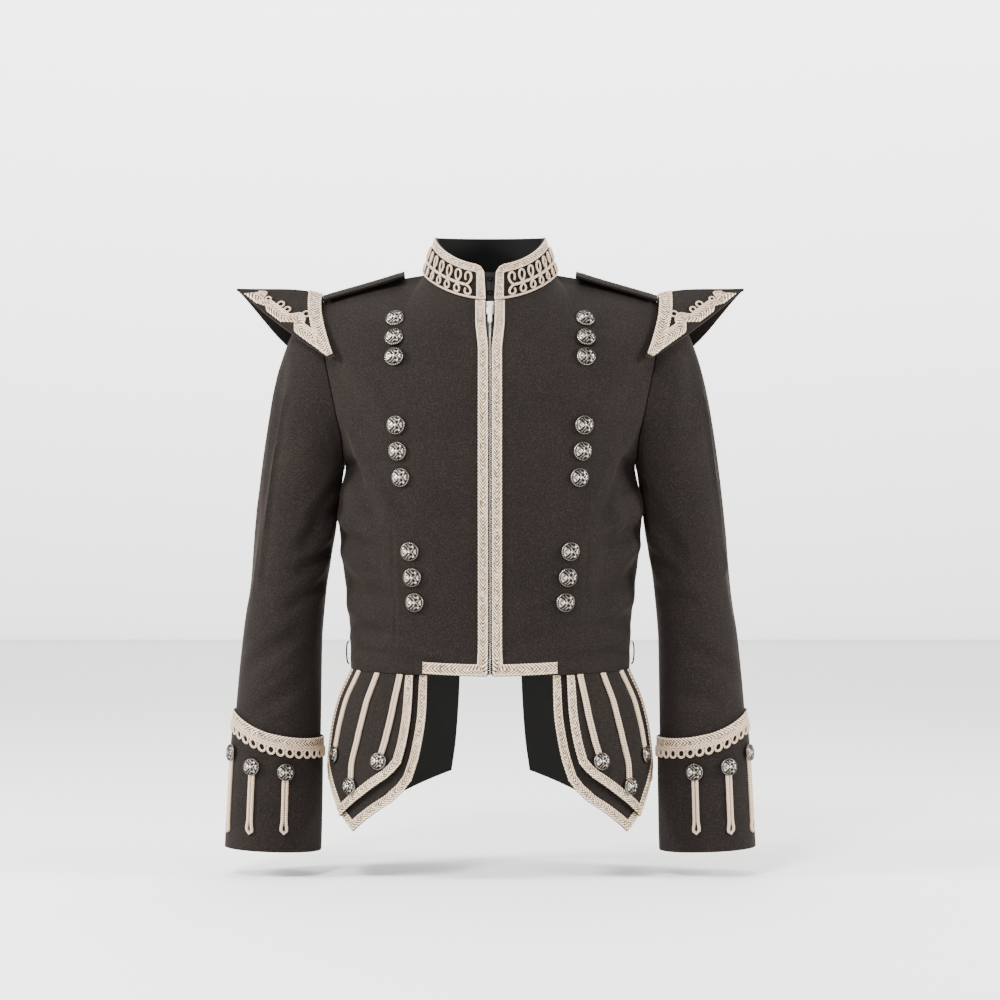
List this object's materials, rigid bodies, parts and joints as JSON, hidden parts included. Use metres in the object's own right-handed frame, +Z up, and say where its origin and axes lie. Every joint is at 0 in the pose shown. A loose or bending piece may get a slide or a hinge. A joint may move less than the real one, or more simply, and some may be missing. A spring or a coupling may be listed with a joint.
{
  "type": "military doublet",
  "caption": "Short black wool military doublet with stand collar, zip front, shoulder wings, skirt flaps, silver braid and domed buttons, hollow as worn",
  "frame": {"origin": "midway between the shoulder seams, 8 mm below the points where they meet the collar, where the wearer's shoulders and neck hold the doublet up", "axes": "+Z up along the body, -Y out of the chest, +X towards the wearer's left"},
  "size_m": [0.68, 0.256, 0.788],
  "materials": {
    "black_wool": "matt black wool barathea",
    "black_lining": "plain black lining cloth",
    "silver_braid": "flat woven silver braid",
    "nickel_buttons": "antique nickel, domed and embossed",
    "zip_metal": "bright zip metal",
    "zip_tape": "black woven zip tape"
  },
  "bodies": {
    "doublet": {"back": "black_wool", "belt_loop_left": "black_wool", "belt_loop_right": "black_wool", "button_chest_1_left": "nickel_buttons", "button_chest_1_right": "nickel_buttons", "button_chest_2_left": "nickel_buttons", "button_chest_2_right": "nickel_buttons", "button_chest_3_left": "nickel_buttons", "button_chest_3_right": "nickel_buttons", "button_cuff_inner_left": "nickel_buttons", "button_cuff_inner_right": "nickel_buttons", "button_cuff_middle_left": "nickel_buttons", "button_cuff_middle_right": "nickel_buttons", "button_cuff_outer_left": "nickel_buttons", "button_cuff_outer_right": "nickel_buttons", "button_flap_inner_left": "nickel_buttons", "button_flap_inner_right": "nickel_buttons", "button_flap_middle_left": "nickel_buttons", "button_flap_middle_right": "nickel_buttons", "button_flap_outer_left": "nickel_buttons", "button_flap_outer_right": "nickel_buttons", "button_top_1_left": "nickel_buttons", "button_top_1_right": "nickel_buttons", "button_top_2_left": "nickel_buttons", "button_top_2_right": "nickel_buttons", "button_top_3_left": "nickel_buttons", "button_top_3_right": "nickel_buttons", "button_waist_1_left": "nickel_buttons", "button_waist_1_right": "nickel_buttons", "button_waist_2_left": "nickel_buttons", "button_waist_2_right": "nickel_buttons", "button_waist_3_left": "nickel_buttons", "button_waist_3_right": "nickel_buttons", "collar": "black_wool", "cuff_braid_left": "silver_braid", "cuff_braid_right": "silver_braid", "cuff_left": "black_wool", "cuff_right": "black_wool", "flap_over_left": "black_wool", "flap_over_right": "black_wool", "flap_rear_left": "black_wool", "flap_rear_right": "black_wool", "flap_under_left": "black_wool", "flap_under_right": "black_wool", "front_braid_left": "silver_braid", "front_braid_right": "silver_braid", "front_left": "black_wool", "front_right": "black_wool", "sleeve_left": "black_wool", "sleeve_right": "black_wool", "strap_left": "black_wool", "strap_right": "black_wool", "wing_braid_left": "silver_braid", "wing_braid_right": "silver_braid", "wing_left": "black_wool", "wing_right": "black_wool", "zip_guard": "black_lining", "zip_slider": "zip_metal", "zip_tape": "zip_tape"},
    "pull_tab": {"zip_pull": "zip_metal"}
  },
  "joints": [
    {"name": "zip_pull_hinge", "type": "hinge", "parent": "doublet", "child": "pull_tab", "pos_m": [0, -0.09467, -0.0357], "axis": [-1, 0, 0], "range_deg": [0, 150]}
  ]
}
